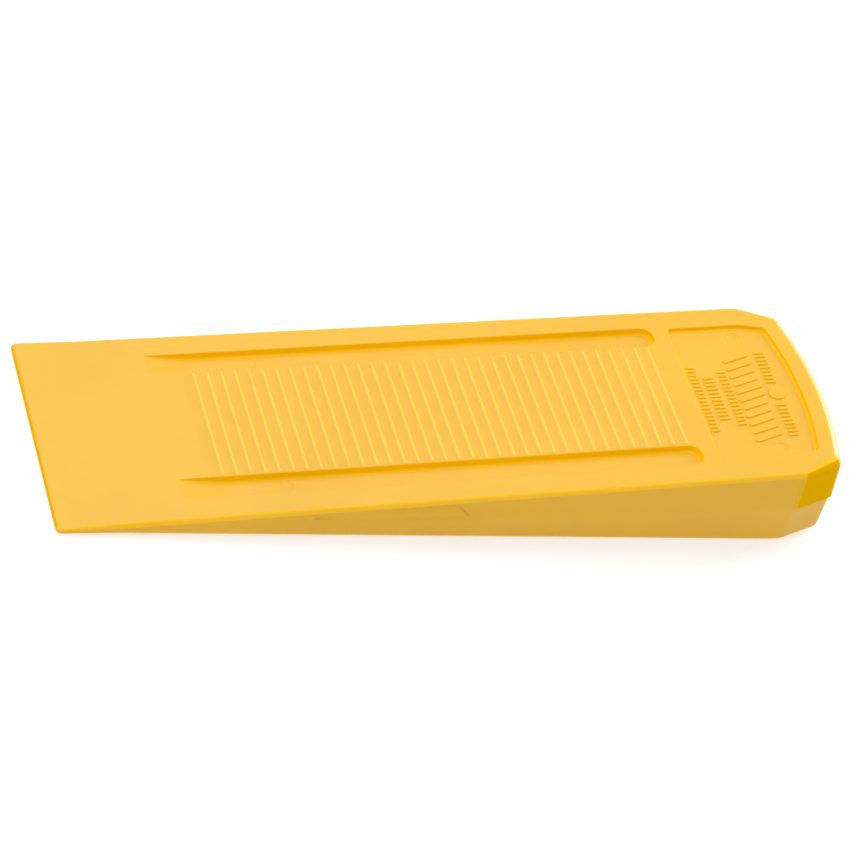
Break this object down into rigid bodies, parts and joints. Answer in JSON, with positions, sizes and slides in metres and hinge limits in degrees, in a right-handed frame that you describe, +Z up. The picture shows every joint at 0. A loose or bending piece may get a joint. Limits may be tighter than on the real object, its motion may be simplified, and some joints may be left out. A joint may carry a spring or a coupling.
{
  "type": "felling wedge",
  "caption": "One-piece plastic tree-felling wedge with a ribbed grip panel, two side channels, a chamfered convex head and a marked sunk field.",
  "frame": {"origin": "centre of the bounding box's bottom, under the wedge as it lies on its lower face", "axes": "+X from the tip to the struck head, +Z up from the lower face, +Y to the left seen from the tip looking at the head"},
  "size_m": [0.2336, 0.0714, 0.0294],
  "materials": {
    "polyamide_yellow": "semi-matte injection-moulded polyamide, signal yellow, with a fine spark-eroded grain between the grip ribs"
  },
  "bodies": {
    "root": {"wedge_body": "polyamide_yellow"}
  },
  "joints": []
}
